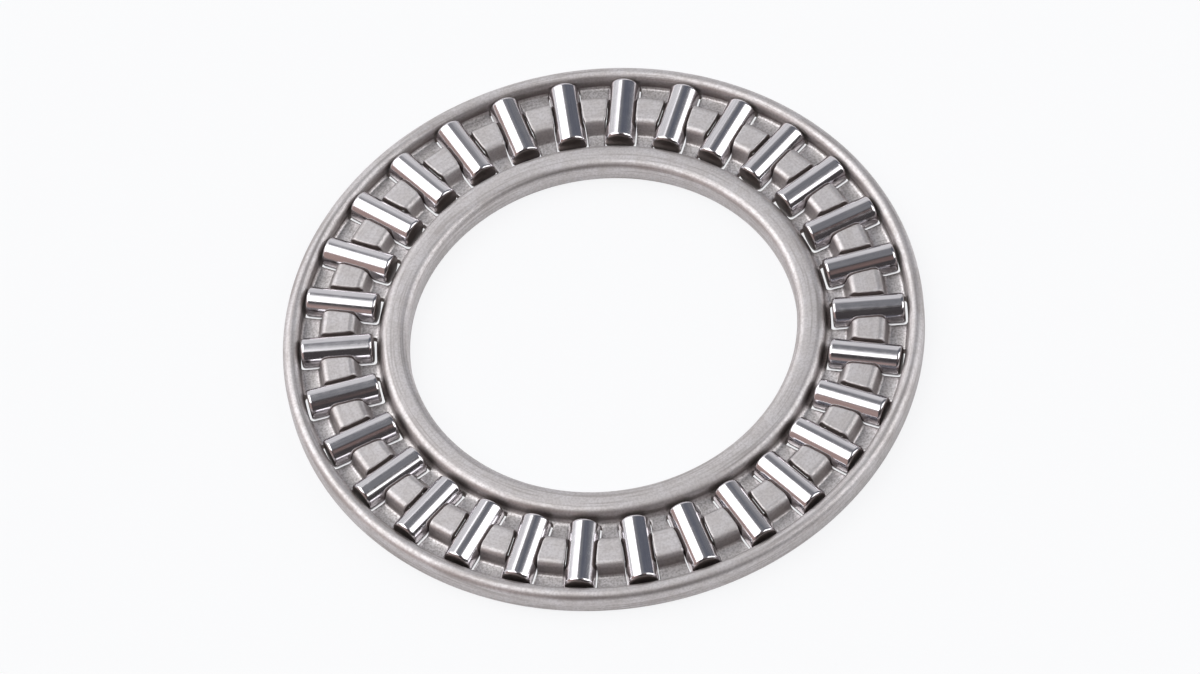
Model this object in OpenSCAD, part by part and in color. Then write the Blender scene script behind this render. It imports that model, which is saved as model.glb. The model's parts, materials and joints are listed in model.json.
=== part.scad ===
// Needle thrust bearing: flat-ended rollers that lie like spokes in a cage pressed from one sheet.
// The origin is the centre of the bearing on the rollers' middle plane, and Z is the bearing's axis.
// The cage's section runs up and down four times: inner rim, land, bump, land, outer rim.

/* [Rollers] */
// Diameter of a roller
roller_d = 2; // [1.85:0.05:2.4]
// Length of a roller
roller_len = 4.65; // [4:0.05:6]
// Rounding where a roller's side meets its ends
roller_edge_r = 0.2; // [0.05:0.01:0.3]
// Number of rollers
roller_count = 30; // [20:1:34]

/* [Bore and rims] */
// Diameter of the shaft that passes through
shaft_d = 25; // [22:0.5:32]
// How much wider than the shaft the cage's bore is
bore_clearance = 0.15; // [0.06:0.01:0.3]
// Width of the rim round the bore
inner_rim_w = 1.85; // [1.6:0.05:2.4]
// Bend at the rim's bore side, measured outside the sheet
bore_bend_r = 0.55; // [0.5:0.05:0.7]
// Bend at the rim's roller side, measured outside the sheet
inner_rim_bend_r = 0.6; // [0.5:0.05:0.7]
// Width of the rim round the outside, which is two bends wide
outer_rim_w = 1.05; // [0.95:0.05:1.4]

/* [Sheet] */
// Thickness of the cage's sheet
sheet_t = 0.45; // [0.3:0.01:0.46]
// How far the cage stays below the rollers' upper lines and above their lower ones
cage_setback = 0.25; // [0.15:0.01:0.35]
// How far the bump's top stays below the rims
bump_drop = 0.03; // [0:0.01:0.1]
// Bends where the sheet turns up from a land, measured inside the bend
foot_bend_r = 0.25; // [0.1:0.01:0.3]

/* [Bump] */
// Width of the bump at its feet
bump_w = 2.35; // [2.2:0.05:3]
// How far the bump's middle lies inwards of the rollers' middle
bump_inset = 0.075; // [0:0.005:0.2]
// How far the bump's inner side leans over on its way up
bump_inner_lean = 0.5; // [0.1:0.05:0.7]
// How far the bump's outer side leans over on its way up
bump_outer_lean = 0.25; // [0.1:0.05:0.5]
// Bends at the bump's shoulders, measured outside the sheet
bump_bend_r = 0.5; // [0.47:0.01:0.65]

/* [Pockets] */
// How much narrower than its roller a pocket is, so that the roller snaps in and stays
snap = 0.03; // [0.02:0.01:0.08]
// Room in the pocket at each end of a roller
end_play = 0.15; // [0.05:0.01:0.25]
// Flat of the land between a pocket's inner end and the inner rim
inner_margin = 0.3; // [0.2:0.05:0.6]
// Gap between a pocket's outer end and the outer rim
outer_margin = 0.025; // [0:0.005:0.3]
// Rounding in a pocket's corners
pocket_corner_r = 0.2; // [0.05:0.01:0.3]
// Gap between a roller and the bump's sides, where the sheet passes the roller's middle height
flank_gap = 0.12; // [0.03:0.01:0.2]
// How far that wider stretch of the pocket reaches past the corners of the bump's sides
flank_reach = 0.25; // [0.25:0.01:0.3]

/* [Hidden] */
ROLLER_NAMES = [for (i = [1:roller_count]) str("roller_", i < 10 ? "0" : "", i)];
$fn = 96;

// Steps in the arc of a bend or an edge, in degrees
ARC_STEP = 22.5;

// Radii from the axis, worked out from the bore outwards
bore_r = (shaft_d + bore_clearance) / 2;
inner_rim_end = bore_r + inner_rim_w;
pocket_start = inner_rim_end + inner_margin;
roller_start = pocket_start + end_play;
roller_mid = roller_start + roller_len / 2;
pocket_end = roller_start + roller_len + end_play;
outer_rim_start = pocket_end + outer_margin;
outside_r = outer_rim_start + outer_rim_w;
pocket_w = roller_d - snap;
flank_w = roller_d + 2 * flank_gap;
pitch = 360 / roller_count;

// Heights of the sheet's middle line
rim_z = roller_d / 2 - cage_setback - sheet_t / 2;
land_z = -rim_z;
bump_z = rim_z - bump_drop;
edge_z = -roller_d / 2 + cage_setback;

// The sheet's middle line as corners [radius, height, bend radius], from the bore's lower edge outwards
HALF = sheet_t / 2;
bump_mid = roller_mid - bump_inset;
bump_in = bump_mid - bump_w / 2;
bump_out = bump_mid + bump_w / 2;
outer_bend = (outer_rim_w - sheet_t) / 2;
SECTION = [
    [bore_r + HALF, edge_z, 0],
    [bore_r + HALF, rim_z, bore_bend_r - HALF],
    [inner_rim_end - HALF, rim_z, inner_rim_bend_r - HALF],
    [inner_rim_end - HALF, land_z, foot_bend_r + HALF],
    [bump_in, land_z, foot_bend_r + HALF],
    [bump_in + bump_inner_lean, bump_z, bump_bend_r - HALF],
    [bump_out - bump_outer_lean, bump_z, bump_bend_r - HALF],
    [bump_out, land_z, foot_bend_r + HALF],
    [outer_rim_start + HALF, land_z, foot_bend_r + HALF],
    [outer_rim_start + HALF, rim_z, outer_bend],
    [outside_r - HALF, rim_z, outer_bend],
    [outside_r - HALF, edge_z, 0],
];

// Where the bump's sides pass the rollers' middle height, as [from, to] in radius
FLANKS = [
    [bump_in - flank_reach, bump_in + bump_inner_lean + flank_reach],
    [bump_out - bump_outer_lean - flank_reach, bump_out + flank_reach],
];

function point(corner) = [corner[0], corner[1]];
function unit(v) = v / norm(v);
function left_of(v) = [-v[1], v[0]];
function heading(v) = atan2(v[1], v[0]);
// Signed turn from direction a to direction b, positive to the left
function turn(a, b) = asin(max(-1, min(1, a[0] * b[1] - a[1] * b[0])));

// One side of the sheet at a bend: side is 1 to the left of the middle line and -1 to the right
function bend(before, corner, after, side) =
    let (
        a = unit(point(corner) - point(before)),
        b = unit(point(after) - point(corner)),
        angle = turn(a, b),
        way = sign(angle),
        r = corner[2],
        centre = point(corner) - a * r * tan(abs(angle) / 2) + left_of(a) * way * r,
        steps = ceil(abs(angle) / ARC_STEP),
        reach = r - way * side * HALF,
        from = heading(-left_of(a) * way)
    )
    [for (i = [0:steps]) centre + reach * [cos(from + angle * i / steps), sin(from + angle * i / steps)]];

// One side of the whole sheet, with square cut ends
function side_line(path, side) =
    let (
        last = len(path) - 1,
        first_dir = unit(point(path[1]) - point(path[0])),
        last_dir = unit(point(path[last]) - point(path[last - 1]))
    )
    concat(
        [point(path[0]) + left_of(first_dir) * side * HALF],
        [for (i = [1:last - 1]) each bend(path[i - 1], path[i], path[i + 1], side)],
        [point(path[last]) + left_of(last_dir) * side * HALF]
    );

function reversed(list) = [for (i = [len(list) - 1:-1:0]) list[i]];

module sheet_section() {
    polygon(concat(side_line(SECTION, 1), reversed(side_line(SECTION, -1))));
}

// One long edge of a pocket, from its inner end outwards, with rounded corners and the wider stretches
function pocket_edge() =
    let (
        e = pocket_corner_r,
        w = pocket_w / 2,
        f = flank_w / 2,
        arc = [for (a = [0:ARC_STEP:90]) e * [sin(a), cos(a)]],
        start = [for (p = arc) [pocket_start + e - p[1], w - e + p[0]]],
        end = [for (p = arc) [pocket_end - e + p[0], w - e + p[1]]],
        steps = [for (flank = FLANKS) each [[flank[0], w], [flank[0], f], [flank[1], f], [flank[1], w]]]
    )
    concat(start, steps, end);

// A slot right through the sheet, lying along X
module pocket() {
    edge = pocket_edge();
    mirrored = [for (p = reversed(edge)) [p[0], -p[1]]];
    translate([0, 0, -roller_d / 2])
        linear_extrude(roller_d)
            polygon(concat(edge, mirrored));
}

module cage() {
    color([0.70, 0.67, 0.65])
        difference() {
            rotate_extrude()
                sheet_section();
            for (i = [1:roller_count])
                rotate([0, 0, (i - 1) * pitch])
                    pocket();
        }
}

// Half outline of a roller, with its rounded edges as arcs
module roller_outline() {
    r = roller_d / 2;
    e = roller_edge_r;
    arc = [for (a = [0:ARC_STEP:90]) [r - e + e * cos(a), roller_len / 2 - e + e * sin(a)]];
    lower = [for (p = reversed(arc)) [p[0], -p[1]]];
    polygon(concat([[0, -roller_len / 2]], lower, arc, [[0, roller_len / 2]]));
}

module roller(index) {
    color([0.80, 0.81, 0.83])
        rotate([0, 0, (index - 1) * pitch])
            translate([roller_mid, 0, 0])
                rotate([0, 90, 0])
                    rotate_extrude()
                        roller_outline();
}

cage();
for (i = [1:roller_count])
    roller(i);
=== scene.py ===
"""A needle thrust bearing: fine meshes and metals for the cage and the rollers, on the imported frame."""
import json
import math

import bmesh
import bpy
import numpy as np
from mathutils import Matrix, Vector


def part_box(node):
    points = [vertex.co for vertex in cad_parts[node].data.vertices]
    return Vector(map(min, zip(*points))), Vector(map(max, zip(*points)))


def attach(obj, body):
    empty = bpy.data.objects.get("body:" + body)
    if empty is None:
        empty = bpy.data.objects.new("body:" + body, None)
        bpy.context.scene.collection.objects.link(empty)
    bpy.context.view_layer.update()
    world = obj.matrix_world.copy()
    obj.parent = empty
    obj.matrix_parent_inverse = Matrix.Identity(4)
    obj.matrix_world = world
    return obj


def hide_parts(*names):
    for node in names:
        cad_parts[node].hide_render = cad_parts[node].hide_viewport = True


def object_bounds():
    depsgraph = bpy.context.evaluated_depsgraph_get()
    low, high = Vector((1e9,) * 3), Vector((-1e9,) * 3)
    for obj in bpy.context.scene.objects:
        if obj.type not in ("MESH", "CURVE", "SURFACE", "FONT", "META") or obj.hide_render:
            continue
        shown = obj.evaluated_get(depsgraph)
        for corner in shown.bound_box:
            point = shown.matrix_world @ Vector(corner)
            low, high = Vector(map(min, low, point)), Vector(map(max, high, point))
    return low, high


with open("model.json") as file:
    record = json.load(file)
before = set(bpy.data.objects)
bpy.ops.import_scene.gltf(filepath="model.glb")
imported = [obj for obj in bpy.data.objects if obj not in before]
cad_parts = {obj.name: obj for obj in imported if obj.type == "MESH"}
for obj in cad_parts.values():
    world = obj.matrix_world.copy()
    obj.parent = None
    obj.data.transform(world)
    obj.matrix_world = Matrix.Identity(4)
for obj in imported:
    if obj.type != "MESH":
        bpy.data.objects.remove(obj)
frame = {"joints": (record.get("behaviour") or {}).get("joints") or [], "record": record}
cad_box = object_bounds()

# Sizes from the frame, in millimetres
MM = 0.001
joints = frame["joints"]
mounts = {m["name"]: m for m in frame["record"]["mounts"]}
roller_low, roller_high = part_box("roller_01")
COUNT = len(joints)
PITCH = 2 * math.pi / COUNT
BORE_R = mounts["bore"]["dims"]["r_mm"]
OUTSIDE_R = mounts["outside"]["dims"]["r_mm"]
ROLLER_MID = round(Vector(joints[0]["pos_m"]).length / MM, 3)
ROLLER_LEN = round((roller_high.x - roller_low.x) / MM, 2)
ROLLER_R = round((roller_high.z - roller_low.z) / 2 / MM, 2)

# The cage's sheet and its bends
SHEET = 0.45
HALF = SHEET / 2
SETBACK = 0.25
INNER_RIM_W = 1.85
OUTER_RIM_W = 1.05
BORE_BEND = 0.55
INNER_RIM_BEND = 0.55
RIM_FOOT_BEND = 0.4
FOOT_BEND = 0.25
BUMP_W = 2.35
BUMP_INSET = 0.075
BUMP_DROP = 0.03
BUMP_BEND = 0.44
INNER_LEAN = 0.42
OUTER_LEAN = 0.25
CUT_EDGE = 0.06

# The pockets, which are narrower than a roller over the bump and a little wider on the lands
TOP_HALF = ROLLER_R - 0.015
LAND_HALF = ROLLER_R + 0.05
END_PLAY = 0.15
POCKET_CORNER = 0.2
EDGE_ROLL = 0.07

# How far inside the bump's feet and shoulders the pockets change their width
INNER_FOOT_REACH = 0.35
OUTER_FOOT_REACH = 0.1
SHOULDER_REACH = 0.3

# The rollers' rounded end edges
ROLLER_EDGE = 0.2

# Heights and radii that follow
RIM_Z = ROLLER_R - SETBACK - HALF
LAND_Z = -RIM_Z
BUMP_Z = RIM_Z - BUMP_DROP
EDGE_Z = SETBACK - ROLLER_R
INNER_RIM_END = BORE_R + INNER_RIM_W
OUTER_RIM_START = OUTSIDE_R - OUTER_RIM_W
POCKET_START = ROLLER_MID - ROLLER_LEN / 2 - END_PLAY
POCKET_END = ROLLER_MID + ROLLER_LEN / 2 + END_PLAY
BUMP_IN = ROLLER_MID - BUMP_INSET - BUMP_W / 2
BUMP_OUT = ROLLER_MID - BUMP_INSET + BUMP_W / 2
OUTER_BEND = (OUTER_RIM_W - SHEET) / 2

# The sheet's middle line as corners (radius, height, bend radius), from the bore's lower edge outwards
SECTION = [
    (BORE_R + HALF, EDGE_Z, 0),
    (BORE_R + HALF, RIM_Z, BORE_BEND - HALF),
    (INNER_RIM_END - HALF, RIM_Z, INNER_RIM_BEND - HALF),
    (INNER_RIM_END - HALF, LAND_Z, RIM_FOOT_BEND + HALF),
    (BUMP_IN, LAND_Z, FOOT_BEND + HALF),
    (BUMP_IN + INNER_LEAN, BUMP_Z, BUMP_BEND - HALF),
    (BUMP_OUT - OUTER_LEAN, BUMP_Z, BUMP_BEND - HALF),
    (BUMP_OUT, LAND_Z, FOOT_BEND + HALF),
    (OUTER_RIM_START + HALF, LAND_Z, FOOT_BEND + HALF),
    (OUTER_RIM_START + HALF, RIM_Z, OUTER_BEND),
    (OUTSIDE_R - HALF, RIM_Z, OUTER_BEND),
    (OUTSIDE_R - HALF, EDGE_Z, 0),
]

# Half width of a pocket along the radius, as (radius, half width)
WIDTHS = [
    (BUMP_IN + INNER_FOOT_REACH, LAND_HALF),
    (BUMP_IN + INNER_LEAN + SHOULDER_REACH, TOP_HALF),
    (BUMP_OUT - OUTER_LEAN - SHOULDER_REACH, TOP_HALF),
    (BUMP_OUT - OUTER_FOOT_REACH, LAND_HALF),
]

# Distances of a sector's columns from its pocket: across the rolled edge, then on the flat beside it
ROLL_ANGLES = np.radians((0, 30, 60, 90))
FLAT_OFFSETS = (0.14, 0.26)
OFFSETS = np.concatenate((EDGE_ROLL * (1 - np.cos(ROLL_ANGLES)), FLAT_OFFSETS))
CORNER_STEPS = POCKET_CORNER * (1 - np.cos(ROLL_ANGLES))

# Columns of a sector: the web between two pockets, then the gap of one pocket
MIDDLE_COLUMNS = 3
GAP_STEPS = 4
WEB_COLUMNS = 2 * len(OFFSETS) + MIDDLE_COLUMNS
SECTOR_COLUMNS = WEB_COLUMNS + GAP_STEPS - 1
LOWER_COLUMNS = [0, len(OFFSETS) - 1, WEB_COLUMNS // 2, WEB_COLUMNS - len(OFFSETS), WEB_COLUMNS - 1]

# Longest steps round the bends of the two faces, and the least distance between two rows
UPPER_SPACING = 0.1
LOWER_SPACING = 0.2
ROW_ROOM = 0.02

# Faces that meet at a larger angle than this show a sharp edge
SHARP_ANGLE = math.radians(50)

# Colours of the cage's steel
STEEL_DULL = (0.64, 0.61, 0.607)
STEEL_LIGHT = (0.71, 0.685, 0.695)
GRAIN_DARK = (0.42, 0.39, 0.385)
RING_DARK = (0.38, 0.345, 0.335)
# Painted highlight on the pockets' rolled edges
EDGE_PAINTED_HIGHLIGHT = (0.70, 0.68, 0.67)
SPECK_DARK = (0.27, 0.245, 0.235)
# Painted shade on the steep walls between the rims, where the channel is hollow
SLOPE_PAINTED_SHADE = (0.17, 0.135, 0.125)
# Painted shade on the pockets' cut walls
CUT_PAINTED_SHADE = (0.26, 0.22, 0.205)

# Colours of the rollers' steel
POLISH_DULL = (0.735, 0.715, 0.745)
POLISH_LIGHT = (0.815, 0.795, 0.815)
# Painted shade on the rollers' ends
END_PAINTED_SHADE = (0.26, 0.225, 0.215)

# Noise on the metals, in features to the metre
GRAIN_SCALE = 6500.0
SPECK_SCALE = 7500.0
MOTTLE_SCALE = 900.0
PRESS_RING_SCALE = 7000.0
LINE_SCALE = 9000.0
CLOUD_SCALE = 2500.0

# How slowly noise changes along the press rings and along a roller's lines, against across them
RING_DRAW = 0.03
LINE_DRAW = 0.06

# How far apart in the noise two rollers may lie, in metres
NOISE_SHIFT = 0.1

# Shares of the second colours where they show most
GRAIN_SHARE = 0.3
SPECK_SHARE = 0.55
# The share of painted highlight on the rolled edges
EDGE_HIGHLIGHT_SHARE = 0.4
RIM_RING_SHARE = 0.55
RING_SHARE_LOSS = 0.35
# Shares of painted shade on the steep walls, at their foot and at the bump's top height
SHADE_FOOT_SHARE = 0.95
SHADE_TOP_SHARE = 0.35

# Roughness of the cage from its smoothest grain to its roughest, less on the lands and more on the cuts
CAGE_SMOOTH = 0.47
CAGE_ROUGH = 0.55
LAND_SMOOTHER = 0.1
CUT_ROUGH = 0.6

# Roughness of the rollers, and of their ends
ROLLER_SMOOTH = 0.11
ROLLER_ROUGH = 0.16
END_ROUGH = 0.4

# Relief of the two metals: depth in millimetres, and how strongly it shows
CAGE_RELIEF = 0.02
CAGE_RELIEF_STRENGTH = 0.35
ROLLER_RELIEF = 0.005
ROLLER_RELIEF_STRENGTH = 0.06

# Width in millimetres over which the cage's look changes at its rims
RIM_BLEND = 0.1

# Colours of the studio
GROUND_WHITE = (0.985, 0.99, 1.0)
FLOOR_GREY = (0.9, 0.9, 0.91)
SOFTBOX = (2.4, 2.4, 2.4)
STUDIO_NEAR = (0.20, 0.205, 0.22)
STUDIO_FAR = (0.72, 0.72, 0.735)
DARK_SIDE = (0.12, 0.13, 0.16)
WARM_SIDE = (0.39, 0.285, 0.262)
DARK_FRONT = (0.06, 0.055, 0.057)
BROWN_FRONT = (0.20, 0.14, 0.13)

# Where those colours lie, as the tilts in degrees of the mirrors that show them: to the right, and away
DARK_SIDE_TILTS = (6, 95), (-8, 4)
WARM_SIDE_TILTS = (-52, -17), (-54, -6)
DARK_FRONT_TILTS = (-16, 60), (-95, -23)
BROWN_FRONT_TILTS = (4, 12), (-42, -27)
LEFT_SOFTBOX_TILTS = (-33.5, -4.5), (-28, 3.5)
RIGHT_SOFTBOX_TILTS = (16.5, 46), (-35, -13.5)
TILT_SOFT = 2.5
DARK_SIDE_SOFT = 4.0

# The far part of the studio: how its border leans, and how many degrees it takes to come in
FAR_LEAN = -0.3
FAR_SOFT = 9

# The floor, in metres, and how white it shows to the camera and in mirrors
FLOOR_SIZE = 1.2
CAMERA_SHARE = 0.88
MIRROR_SHARE = 0.35

# The camera, with pixels of the photograph's own frame and distances in millimetres
IMAGE_W = 1200
IMAGE_H = 674
FOCAL_PX = 6359.0
SENSOR_W = 36
CAMERA_DISTANCE = 410
CLIP_START = 10
CAMERA_ELEVATION = math.radians(55.5)
CAMERA_AZIMUTH = math.radians(-5.86)
CAMERA_ROLL = math.radians(9.42)
CENTRE_PX = (602.69, 330.83)
RIGHT = Vector((math.cos(CAMERA_AZIMUTH), math.sin(CAMERA_AZIMUTH), 0))
AWAY = Vector((-math.sin(CAMERA_AZIMUTH), math.cos(CAMERA_AZIMUTH), 0))
UP = Vector((0, 0, 1))
TO_CAMERA = -AWAY * math.cos(CAMERA_ELEVATION) + UP * math.sin(CAMERA_ELEVATION)


def unit(v):
    return v / np.linalg.norm(v)


def left_of(v):
    return np.array((-v[1], v[0]))


def turned(v, angle):
    c, s = math.cos(angle), math.sin(angle)
    return np.array((c * v[0] - s * v[1], s * v[0] + c * v[1]))


def bend(k, side, spacing):
    """Points and outward normals of one face of the sheet round the corner k of SECTION."""
    before, corner, after = (np.array(SECTION[i][:2]) for i in (k - 1, k, k + 1))
    a = unit(corner - before)
    b = unit(after - corner)
    angle = math.asin(a[0] * b[1] - a[1] * b[0])
    way = math.copysign(1, angle)
    radius = SECTION[k][2]
    centre = corner - a * radius * math.tan(abs(angle) / 2) + left_of(a) * way * radius
    reach = radius - way * side * HALF
    steps = max(3, math.ceil(reach * abs(angle) / spacing))
    arms = [turned(-left_of(a) * way, angle * i / steps) for i in range(steps + 1)]
    return [centre + reach * arm for arm in arms], [-way * side * arm for arm in arms]


def cut_end(k, neighbour, side):
    """Points and normals of the rounded edge at a cut end of the sheet, from the cut to the face."""
    end, other = (np.array(SECTION[i][:2]) for i in (k, neighbour))
    inward = unit(other - end)
    out = left_of(inward) * side * (1 if k == 0 else -1)
    face = end + out * HALF
    middle = face + (inward - out) * CUT_EDGE
    angles = [math.radians(a) for a in (0, 45, 90)]
    points = [middle + (out * math.sin(a) - inward * math.cos(a)) * CUT_EDGE for a in angles]
    return points, [out] * len(angles)


def face_line(side, spacing):
    """One face of the sheet's section, side 1 above and -1 below: arc length, radius, height and normal."""
    last = len(SECTION) - 1
    points, normals = cut_end(0, 1, side)
    for k in range(1, last):
        more, arms = bend(k, side, spacing)
        points += more
        normals += arms
    more, arms = cut_end(last, last - 1, side)
    points += more[::-1]
    normals += arms[::-1]
    points = np.array(points)
    lengths = np.linalg.norm(np.diff(points, axis=0), axis=1)
    s = np.concatenate(([0], np.cumsum(lengths)))
    keep = np.concatenate(([True], lengths > 1e-9))
    return np.column_stack((s, points, np.array(normals)))[keep]


def along(line, s):
    """The face line's rows at the arc lengths s."""
    return np.column_stack([s] + [np.interp(s, line[:, 0], line[:, k]) for k in range(1, 5)])


def climb(line, wall_in, wall_out):
    """The stretch of a face line between its two upright walls, where the radius only grows."""
    first = np.flatnonzero(np.abs(line[:, 1] - wall_in) < 1e-6)[-1]
    last = np.flatnonzero(np.abs(line[:, 1] - wall_out) < 1e-6)[0]
    return line[first:last + 1]


def length_at(stretch, radius):
    return np.interp(radius, stretch[:, 1], stretch[:, 0])


def thinned(own, fixed):
    """The fixed arc lengths and those of the line's own that lie clear of them, in order."""
    clear = [s for s in own if np.min(np.abs(fixed - s)) > ROW_ROOM]
    return np.sort(np.concatenate((fixed, clear)))


def half_width(radius):
    """Half width of a pocket at a radius, with its rounded corners."""
    knots = np.array(WIDTHS)
    width = np.interp(radius, knots[:, 0], knots[:, 1])
    inset = np.clip(np.minimum(radius - POCKET_START, POCKET_END - radius), 0, POCKET_CORNER)
    return width - POCKET_CORNER + np.sqrt(POCKET_CORNER ** 2 - (POCKET_CORNER - inset) ** 2)


def column_angles(radius, width):
    """Angle of each column of a sector at each row, and its distance from the nearest pocket's middle."""
    r = radius[:, None]
    side_y = width[:, None] + OFFSETS
    side = np.arcsin(side_y / r)
    t = np.arange(1, MIDDLE_COLUMNS + 1) / (MIDDLE_COLUMNS + 1)
    middle = side[:, -1:] + (PITCH - 2 * side[:, -1:]) * t
    gap_y = width[:, None] * (2 * np.arange(1, GAP_STEPS) / GAP_STEPS - 1)
    angles = np.hstack((side, middle, PITCH - side[:, ::-1], PITCH + np.arcsin(gap_y / r)))
    far = np.repeat(side_y[:, -1:] + EDGE_ROLL, MIDDLE_COLUMNS, axis=1)
    return angles, np.hstack((side_y, far, side_y[:, ::-1], np.abs(gap_y)))


def pocket_distance(rows, y, beyond):
    """Distance on the face from the nearest pocket, at rows that lie so far beyond its end."""
    knots = np.array(WIDTHS)
    width = np.interp(rows[:, 1], knots[:, 0], knots[:, 1])[:, None]
    qx = np.repeat((POCKET_CORNER + beyond)[:, None], y.shape[1], axis=1)
    qy = y - width + POCKET_CORNER
    outside = np.hypot(np.maximum(qx, 0), np.maximum(qy, 0))
    return np.maximum(outside + np.minimum(np.maximum(qx, qy), 0) - POCKET_CORNER, 0)


def ring_points(rows, angles, sink):
    """Points of all sectors, as rows by columns, sunk below the face along its normal."""
    radius = rows[:, 1:2] - rows[:, 3:4] * sink
    height = rows[:, 2:3] - rows[:, 4:5] * sink
    turns = (np.arange(COUNT) * PITCH)[None, :, None] + angles[:, None, :]
    x = radius[:, None, :] * np.cos(turns)
    y = radius[:, None, :] * np.sin(turns)
    z = np.broadcast_to(height[:, None, :], x.shape)
    return np.stack((x, y, z), axis=-1).reshape(len(rows), -1, 3)


def between(a, b):
    """Quads between two lines of point numbers, or between the matching columns of two tables."""
    return np.stack((a[:-1], a[1:], b[1:], b[:-1]), axis=-1).reshape(-1, 4)


def quads(index, columns):
    """Quads between neighbouring rows and the listed columns, round the ring, where all corners exist."""
    a = index[:, columns]
    faces = between(a, np.roll(a, -1, axis=1))
    return faces[(faces >= 0).all(axis=1)].tolist()


def pocket_walls(upper, lower):
    """Quads of the cut walls: the pockets' long sides, and their ends at the first and last row."""
    faces = []
    for j in range(COUNT):
        start = j * SECTOR_COLUMNS
        for column in (start, start + WEB_COLUMNS - 1):
            faces += between(upper[:, column], lower[:, column]).tolist()
        ends = (start + np.arange(WEB_COLUMNS - 1, SECTOR_COLUMNS + 1)) % (COUNT * SECTOR_COLUMNS)
        for row in (0, -1):
            faces += between(upper[row, ends], lower[row, ends]).tolist()
    return faces


def cut_faces(upper, lower):
    """Faces of the sheet's cut edge, each with the upper face's extra points along one side."""
    faces = []
    stops = LOWER_COLUMNS + list(range(WEB_COLUMNS, SECTOR_COLUMNS + 1))
    for j in range(COUNT):
        for a, b in zip(stops, stops[1:]):
            run = (j * SECTOR_COLUMNS + np.arange(a, b + 1)) % (COUNT * SECTOR_COLUMNS)
            faces.append(upper[run].tolist() + [int(lower[run[-1]]), int(lower[run[0]])])
    return faces


def upper_rows(upper, upper_climb, lower_climb, ends):
    """Rows of the upper face: its own points, the pockets' outline and the lower face's bends."""
    radii = lower_climb[:, 1]
    lower_bends = radii[(radii > POCKET_START + POCKET_CORNER) & (radii < POCKET_END - POCKET_CORNER)]
    knots = np.array(WIDTHS)[:, 0]
    outline = np.concatenate((POCKET_START + CORNER_STEPS, POCKET_END - CORNER_STEPS, knots))
    beside = np.concatenate((ends[0] - OFFSETS[1:], ends[1] + OFFSETS[1:]))
    fixed = np.concatenate((beside, length_at(upper_climb, outline)))
    fixed = thinned(length_at(upper_climb, lower_bends), fixed)
    return along(upper, thinned(upper[:, 0], fixed))


def upper_face(rows, inside, ends):
    """Points of the upper face, sunk where the edges are rolled, and their distances from a pocket."""
    to_end = np.minimum(rows[:, 1] - POCKET_START, POCKET_END - rows[:, 1])
    past_end = np.maximum(ends[0] - rows[:, 0], rows[:, 0] - ends[1])
    angles, y = column_angles(rows[:, 1], half_width(rows[:, 1]))
    distance = pocket_distance(rows, y, np.where(inside, -to_end, past_end))
    left = np.clip(EDGE_ROLL - distance, 0, None)
    sink = EDGE_ROLL - np.sqrt(EDGE_ROLL ** 2 - left ** 2)
    return ring_points(rows, angles, sink), distance


def lower_rows(lower, lower_climb, span):
    """Rows of the lower face, with the radii in span across the pockets, and how many come before those."""
    before = lower[lower[:, 0] < length_at(lower_climb, POCKET_START - ROW_ROOM)]
    after = lower[lower[:, 0] > length_at(lower_climb, POCKET_END + ROW_ROOM)]
    return np.vstack((before, along(lower, length_at(lower_climb, span)), after)), len(before)


def solid_points(count, first, last, in_gap):
    """Marks the points that exist, by row and column: none in the gaps between first and last row."""
    open_rows = np.zeros(count, bool)
    open_rows[first + 1:last] = True
    return ~(open_rows[:, None] & in_gap)


def numbered(there, start):
    """Running numbers for the points that exist, and -1 for the others."""
    return np.where(there, start + np.cumsum(there).reshape(there.shape) - 1, -1)


def set_mark(mesh, name, domain, values):
    """Gives each point or face of the mesh a number that the material reads by name."""
    mesh.attributes.new(name, "FLOAT", domain).data.foreach_set("value", values)


def cage_mesh():
    """The pressed ring as one closed mesh, with marks on the pockets' rolled edges and on the cut walls."""
    upper = face_line(1, UPPER_SPACING)
    lower = face_line(-1, LOWER_SPACING)
    upper_climb = climb(upper, INNER_RIM_END, OUTER_RIM_START)
    lower_climb = climb(lower, INNER_RIM_END - SHEET, OUTER_RIM_START + SHEET)
    ends = length_at(upper_climb, (POCKET_START, POCKET_END))

    rows = upper_rows(upper, upper_climb, lower_climb, ends)
    inside = (rows[:, 0] > ends[0] - 1e-9) & (rows[:, 0] < ends[1] + 1e-9)
    first, last = np.flatnonzero(inside)[[0, -1]]
    upper_points, distance = upper_face(rows, inside, ends)
    below, low_first = lower_rows(lower, lower_climb, rows[inside][:, 1])
    low_last = low_first + last - first
    low_angles, _ = column_angles(below[:, 1], half_width(below[:, 1]))
    lower_points = ring_points(below, low_angles, 0 * low_angles)

    column = np.tile(np.arange(SECTOR_COLUMNS), COUNT)
    in_gap = column >= WEB_COLUMNS
    sparse = np.isin(column, LOWER_COLUMNS) | in_gap
    upper_there = solid_points(len(rows), first, last, in_gap)
    lower_there = solid_points(len(below), low_first, low_last, in_gap) & sparse
    upper_index = numbered(upper_there, 0)
    lower_index = numbered(lower_there, upper_there.sum())

    every = np.arange(len(column))
    faces = quads(upper_index, every) + quads(lower_index, every[sparse])
    pressed = len(faces)
    faces += pocket_walls(upper_index[first:last + 1], lower_index[low_first:low_last + 1])
    faces += cut_faces(upper_index[0], lower_index[0]) + cut_faces(upper_index[-1], lower_index[-1])
    points = np.vstack((upper_points[upper_there], lower_points[lower_there])) * MM
    mesh = bpy.data.meshes.new("cage_sheet")
    mesh.from_pydata(points.tolist(), [], faces)
    edge = np.tile(np.clip(1 - distance / (2 * EDGE_ROLL), 0, 1), (1, COUNT))
    set_mark(mesh, "edge", "POINT", np.concatenate((edge[upper_there], np.zeros(lower_there.sum()))))
    set_mark(mesh, "cut", "FACE", (np.arange(len(faces)) >= pressed).astype(float))
    return mesh


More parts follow.
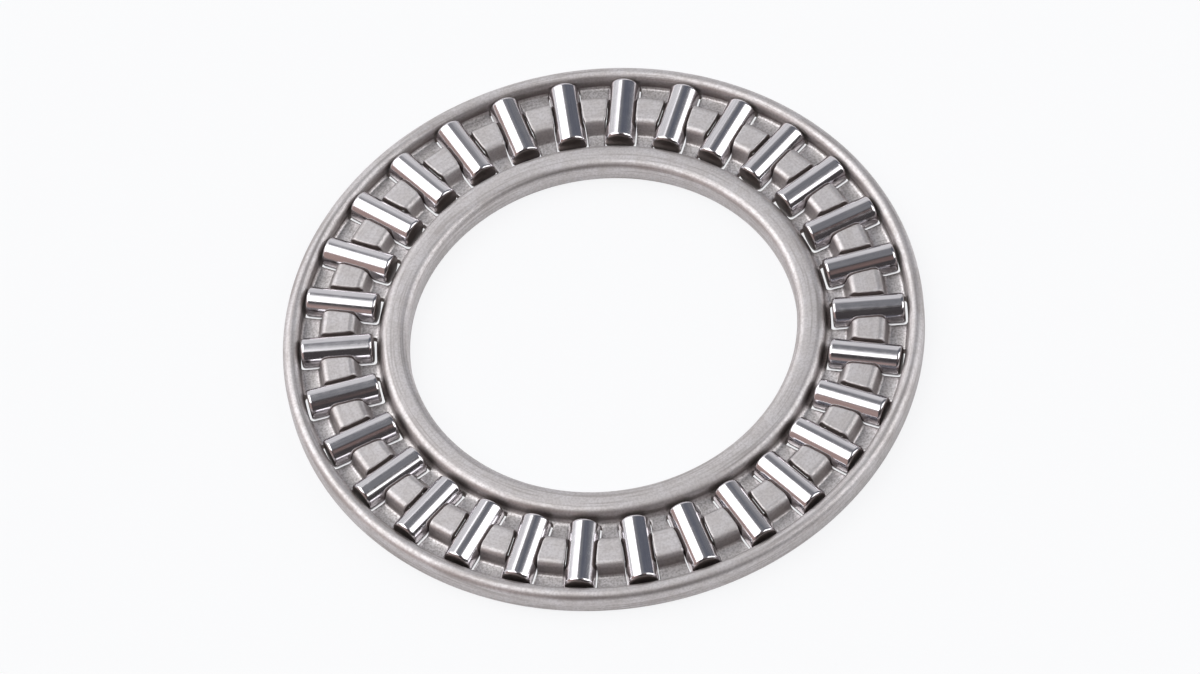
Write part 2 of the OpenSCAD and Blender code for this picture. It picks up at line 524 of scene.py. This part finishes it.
def finish_mesh(mesh):
    """Turns all faces outwards, and shades smoothly except across sharp edges."""
    work = bmesh.new()
    work.from_mesh(mesh)
    bmesh.ops.recalc_face_normals(work, faces=work.faces)
    work.to_mesh(mesh)
    work.free()
    mesh.shade_smooth()
    mesh.set_sharp_from_angle(angle=SHARP_ANGLE)


def make_cage(material):
    mesh = cage_mesh()
    finish_mesh(mesh)
    piece = bpy.data.objects.new("pressed_cage", mesh)
    bpy.context.collection.objects.link(piece)
    mesh.materials.append(material)
    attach(piece, "cage")
    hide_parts("cage")


def roller_mesh():
    """A roller along X about its own middle, with flat ends, rounded edges and straight shading between."""
    segments = 96
    edge_steps = 5
    straight_from = 1.1 * ROLLER_EDGE
    arc = [math.pi / 2 * i / edge_steps for i in range(edge_steps + 1)]
    end = ROLLER_LEN / 2
    middle = (end - ROLLER_EDGE, ROLLER_R - ROLLER_EDGE)
    corner = [(middle[0] + ROLLER_EDGE * math.sin(a), middle[1] + ROLLER_EDGE * math.cos(a)) for a in arc]
    side = [(end - straight_from, ROLLER_R)]
    profile = [(-x, r) for x, r in reversed(side + corner)] + side + corner
    work = bmesh.new()
    rings = []
    for x, r in profile:
        turns = (2 * math.pi * k / segments for k in range(segments))
        rings.append([work.verts.new(Vector((x, r * math.cos(t), r * math.sin(t))) * MM) for t in turns])
    for low, high in zip(rings, rings[1:]):
        for k in range(segments):
            n = (k + 1) % segments
            work.faces.new((low[k], low[n], high[n], high[k]))
    for ring in (rings[0], rings[-1]):
        work.faces.new(ring)
    mesh = bpy.data.meshes.new("needle_roller")
    work.to_mesh(mesh)
    work.free()
    finish_mesh(mesh)
    return mesh


def make_rollers(material):
    """One roller on each joint, all with one mesh."""
    mesh = roller_mesh()
    mesh.materials.append(material)
    for i in range(COUNT):
        name = f"roller_{i + 1:02d}"
        piece = bpy.data.objects.new(f"needle_{i + 1:02d}", mesh)
        bpy.context.collection.objects.link(piece)
        outwards = Matrix.Translation((ROLLER_MID * MM, 0, 0))
        piece.matrix_world = Matrix.Rotation(i * PITCH, 4, "Z") @ outwards
        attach(piece, name)
        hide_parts(name)


class Graph:
    """A few short calls to lay out a node tree."""

    def __init__(self, tree):
        self.tree = tree
        tree.nodes.clear()

    def node(self, kind, settings=None, **inputs):
        """A node of a kind, with its settings, and its inputs set to values or joined to sockets."""
        made = self.tree.nodes.new(kind)
        for key, value in (settings or {}).items():
            setattr(made, key, value)
        for key, value in inputs.items():
            socket = made.inputs[int(key[1:])] if key[1:].isdigit() else made.inputs[key.replace("_", " ")]
            if isinstance(value, bpy.types.NodeSocket):
                self.tree.links.new(value, socket)
            else:
                socket.default_value = value
        return made

    def math(self, operation, a, b=0.0):
        return self.node("ShaderNodeMath", {"operation": operation}, i0=a, i1=b).outputs[0]

    def times(self, a, b):
        return self.math("MULTIPLY", a, b)

    def vector(self, operation, a, b):
        return self.node("ShaderNodeVectorMath", {"operation": operation}, i0=a, i1=b).outputs

    def parts(self, vector):
        """The three parts of a vector."""
        return self.node("ShaderNodeSeparateXYZ", None, Vector=vector).outputs

    def ramp(self, value, low, high, to_low=0.0, to_high=1.0):
        """Goes smoothly from to_low to to_high while the value goes from low to high."""
        settings = {"interpolation_type": "SMOOTHSTEP"}
        limits = {"i1": low, "i2": high, "i3": to_low, "i4": to_high}
        return self.node("ShaderNodeMapRange", settings, i0=value, **limits).outputs[0]

    def band(self, value, low, high, soft):
        """1 between low and high, and 0 outside, with soft edges."""
        rise = self.ramp(value, low - soft, low + soft)
        fall = self.ramp(value, high - soft, high + soft, 1.0, 0.0)
        return self.times(rise, fall)

    def mix(self, share, a, b):
        """Colour a, with a share of colour b."""
        made = self.node("ShaderNodeMix", {"data_type": "RGBA"}, i0=share)
        for socket, value in ((made.inputs[6], a), (made.inputs[7], b)):
            if isinstance(value, bpy.types.NodeSocket):
                self.tree.links.new(value, socket)
            else:
                socket.default_value = (*value, 1)
        return made.outputs[2]

    def noise(self, vector, scale, detail=3.0):
        """Cloudy noise, with about scale features to the metre."""
        made = self.node("ShaderNodeTexNoise", None, Vector=vector, Scale=scale, Detail=detail)
        return made.outputs["Fac"]

    def mark(self, name):
        """The number that set_mark gave the mesh."""
        return self.node("ShaderNodeAttribute", {"attribute_name": name}).outputs["Fac"]

    def metal(self, tone, rough, height, strength, depth):
        """Ends the tree as metal of the given colour and roughness, with a relief so many metres deep."""
        relief = self.node("ShaderNodeBump", None, Strength=strength, Distance=depth, Height=height)
        look = {"Base_Color": tone, "Metallic": 1.0, "Roughness": rough, "Normal": relief.outputs[0]}
        shader = self.node("ShaderNodeBsdfPrincipled", None, **look)
        self.node("ShaderNodeOutputMaterial", None, Surface=shader.outputs[0])


def new_material(name):
    material = bpy.data.materials.new(name)
    material.use_nodes = True
    return material, Graph(material.node_tree)


def press_rings(g, place, radius):
    """Noise drawn out along the ring, like the fine lines that the press leaves."""
    parts = g.parts(place)
    across = g.math("ADD", radius, parts[2])
    turned = {"X": across, "Y": g.times(parts[0], RING_DRAW), "Z": g.times(parts[1], RING_DRAW)}
    return g.noise(g.node("ShaderNodeCombineXYZ", None, **turned).outputs[0], PRESS_RING_SCALE)


def cage_material():
    """Matte pressed steel with grain and press rings, a painted highlight on the rolled edges, and painted
    shade on the slopes between the rims and on the cut walls.
    """
    material, g = new_material("pressed_steel")
    coordinates = g.node("ShaderNodeTexCoord").outputs
    place = coordinates["Object"]
    x, y, z = g.parts(place)
    radius = g.math("SQRT", g.math("ADD", g.times(x, x), g.times(y, y)))
    rings = press_rings(g, place, radius)
    grain = g.noise(place, GRAIN_SCALE)
    mottle = g.noise(place, MOTTLE_SCALE, 4.0)
    cut = g.mark("cut")
    band_start = (INNER_RIM_END - RIM_BLEND) * MM
    band_end = (OUTER_RIM_START + RIM_BLEND) * MM
    between_rims = g.band(radius, band_start, band_end, RIM_BLEND * MM)
    land = g.times(between_rims, g.ramp(z, (LAND_Z + HALF) * MM, 0.0, 1.0, 0.0))

    tone = g.mix(g.ramp(mottle, 0.3, 0.7), STEEL_DULL, STEEL_LIGHT)
    tone = g.mix(g.ramp(grain, 0.42, 0.62, 0.0, GRAIN_SHARE), tone, GRAIN_DARK)
    ring_share = g.math("SUBTRACT", RIM_RING_SHARE, g.times(between_rims, RING_SHARE_LOSS))
    tone = g.mix(g.times(g.ramp(rings, 0.46, 0.68), ring_share), tone, RING_DARK)
    # Painted highlight: the rolled edges beside the pockets are made lighter
    tone = g.mix(g.times(g.mark("edge"), EDGE_HIGHLIGHT_SHARE), tone, EDGE_PAINTED_HIGHLIGHT)
    speck = g.ramp(g.noise(place, SPECK_SCALE), 0.42, 0.66, 0.0, SPECK_SHARE)
    tone = g.mix(g.times(land, speck), tone, SPECK_DARK)
    # Painted shade: the steep walls between the rims are darkened, most of all at their foot
    facing_up = g.parts(coordinates["Normal"])[2]
    slope_shade = g.times(between_rims, g.ramp(facing_up, 0.1, 0.65, 1.0, 0.0))
    slope_shade_share = g.ramp(z, LAND_Z * MM, BUMP_Z * MM, SHADE_FOOT_SHARE, SHADE_TOP_SHARE)
    tone = g.mix(g.times(slope_shade, slope_shade_share), tone, SLOPE_PAINTED_SHADE)
    # Painted shade darkens the cut walls of the pockets
    tone = g.mix(cut, tone, CUT_PAINTED_SHADE)

    matt = g.ramp(grain, 0.3, 0.7, CAGE_SMOOTH, CAGE_ROUGH)
    rough = g.math("SUBTRACT", matt, g.times(land, LAND_SMOOTHER))
    rough = g.math("MAXIMUM", rough, g.times(cut, CUT_ROUGH))
    height = g.math("ADD", g.times(grain, 0.4), g.times(rings, 0.6))
    g.metal(tone, rough, height, CAGE_RELIEF_STRENGTH, CAGE_RELIEF * MM)
    return material


def roller_material():
    """Ground and polished steel, nearly a mirror, with faint lines along the roller, and dull ends darkened
    with painted shade.
    """
    material, g = new_material("polished_steel")
    own_place = g.node("ShaderNodeTexCoord").outputs["Object"]
    shift = g.times(g.node("ShaderNodeObjectInfo").outputs["Random"], NOISE_SHIFT)
    place = g.vector("ADD", own_place, shift)[0]
    lines = g.noise(g.vector("MULTIPLY", place, (LINE_DRAW, 1.0, 1.0))[0], LINE_SCALE)
    cloud = g.noise(place, CLOUD_SCALE)
    from_middle = g.math("ABSOLUTE", g.parts(own_place)[0])
    half_length = ROLLER_LEN / 2 * MM
    end = g.ramp(from_middle, half_length - ROLLER_EDGE / 2 * MM, half_length - 0.01 * MM)
    tone = g.mix(g.ramp(lines, 0.35, 0.65), POLISH_DULL, POLISH_LIGHT)
    # Painted shade darkens the roller's ends
    tone = g.mix(end, tone, END_PAINTED_SHADE)
    sheen = g.ramp(cloud, 0.3, 0.7, ROLLER_SMOOTH, ROLLER_ROUGH)
    rough = g.math("MAXIMUM", sheen, g.times(end, END_ROUGH))
    g.metal(tone, rough, lines, ROLLER_RELIEF_STRENGTH, ROLLER_RELIEF * MM)
    return material


def seen(g):
    """1 for rays from the camera."""
    return g.node("ShaderNodeLightPath").outputs["Is Camera Ray"]


def make_floor():
    """A white floor that keeps a faint shadow."""
    mesh = bpy.data.meshes.new("floor")
    half = FLOOR_SIZE / 2
    corners = [(-half, -half, 0), (half, -half, 0), (half, half, 0), (-half, half, 0)]
    mesh.from_pydata(corners, [], [(0, 1, 2, 3)])
    floor = bpy.data.objects.new("floor", mesh)
    floor.location.z = cad_box[0].z
    bpy.context.collection.objects.link(floor)
    material, g = new_material("floor")
    mirrored = g.node("ShaderNodeLightPath").outputs["Is Glossy Ray"]
    share = g.math("MAXIMUM", g.times(seen(g), CAMERA_SHARE), g.times(mirrored, MIRROR_SHARE))
    matte = g.node("ShaderNodeBsdfDiffuse", None, Color=(*FLOOR_GREY, 1)).outputs[0]
    glow = g.node("ShaderNodeEmission", None, Color=(*GROUND_WHITE, 1), Strength=1.0).outputs[0]
    both = g.node("ShaderNodeMixShader", None, i0=share, i1=matte, i2=glow)
    g.node("ShaderNodeOutputMaterial", None, Surface=both.outputs[0])
    mesh.materials.append(material)


def make_sky():
    """The studio: two white softboxes in darker surroundings for the metal, and white to the camera."""
    world = bpy.data.worlds.new("studio")
    bpy.context.scene.world = world
    world.use_nodes = True
    g = Graph(world.node_tree)

    # A mirror that shows this direction to the camera faces halfway between the two
    halfway = g.vector("ADD", g.node("ShaderNodeTexCoord").outputs["Generated"], TO_CAMERA)[0]
    facing = g.node("ShaderNodeVectorMath", {"operation": "NORMALIZE"}, i0=halfway).outputs[0]
    right, away, up = (g.vector("DOT_PRODUCT", facing, axis)["Value"] for axis in (RIGHT, AWAY, UP))
    degree = math.pi / 180
    across = g.math("ARCTAN2", right, up)
    depth = g.math("ARCTAN2", away, up)

    def patch(acrosses, depths, soft=TILT_SOFT):
        """Mask of what mirrors show that tilt by so many degrees to the right and away."""
        wide = g.band(across, acrosses[0] * degree, acrosses[1] * degree, soft * degree)
        deep = g.band(depth, depths[0] * degree, depths[1] * degree, soft * degree)
        return g.times(wide, deep)

    behind = g.ramp(g.math("ADD", depth, g.times(across, FAR_LEAN)), 0.0, FAR_SOFT * degree)
    colour = g.mix(behind, STUDIO_NEAR, STUDIO_FAR)
    colour = g.mix(patch(*DARK_SIDE_TILTS, DARK_SIDE_SOFT), colour, DARK_SIDE)
    colour = g.mix(patch(*WARM_SIDE_TILTS), colour, WARM_SIDE)
    colour = g.mix(patch(*DARK_FRONT_TILTS), colour, DARK_FRONT)
    colour = g.mix(patch(*BROWN_FRONT_TILTS), colour, BROWN_FRONT)
    colour = g.mix(patch(*LEFT_SOFTBOX_TILTS), colour, SOFTBOX)
    colour = g.mix(patch(*RIGHT_SOFTBOX_TILTS), colour, SOFTBOX)
    colour = g.mix(seen(g), colour, GROUND_WHITE)
    light = g.node("ShaderNodeBackground", None, Color=colour, Strength=1.0)
    g.node("ShaderNodeOutputWorld", None, Surface=light.outputs[0])


def make_camera():
    """The photograph's view: the ring's centre lies at CENTRE_PX, and the picture leans by CAMERA_ROLL."""
    level_up = AWAY * math.sin(CAMERA_ELEVATION) + UP * math.cos(CAMERA_ELEVATION)
    side = RIGHT * math.cos(CAMERA_ROLL) - level_up * math.sin(CAMERA_ROLL)
    top = RIGHT * math.sin(CAMERA_ROLL) + level_up * math.cos(CAMERA_ROLL)
    mm_per_px = CAMERA_DISTANCE / FOCAL_PX
    place = TO_CAMERA * CAMERA_DISTANCE
    place += (side * (IMAGE_W / 2 - CENTRE_PX[0]) + top * (CENTRE_PX[1] - IMAGE_H / 2)) * mm_per_px
    camera = bpy.data.cameras.new("camera")
    camera.sensor_width = SENSOR_W
    camera.lens = FOCAL_PX / IMAGE_W * SENSOR_W
    camera.clip_start = CLIP_START * MM
    stand = bpy.data.objects.new("camera", camera)
    bpy.context.collection.objects.link(stand)
    turn = Matrix((side, top, TO_CAMERA)).transposed().to_4x4()
    stand.matrix_world = Matrix.Translation(place * MM) @ turn
    bpy.context.scene.camera = stand


make_camera()
make_cage(cage_material())
make_rollers(roller_material())
make_floor()
make_sky()
bpy.context.scene.view_settings.view_transform = "Standard"

bpy.context.view_layer.update()
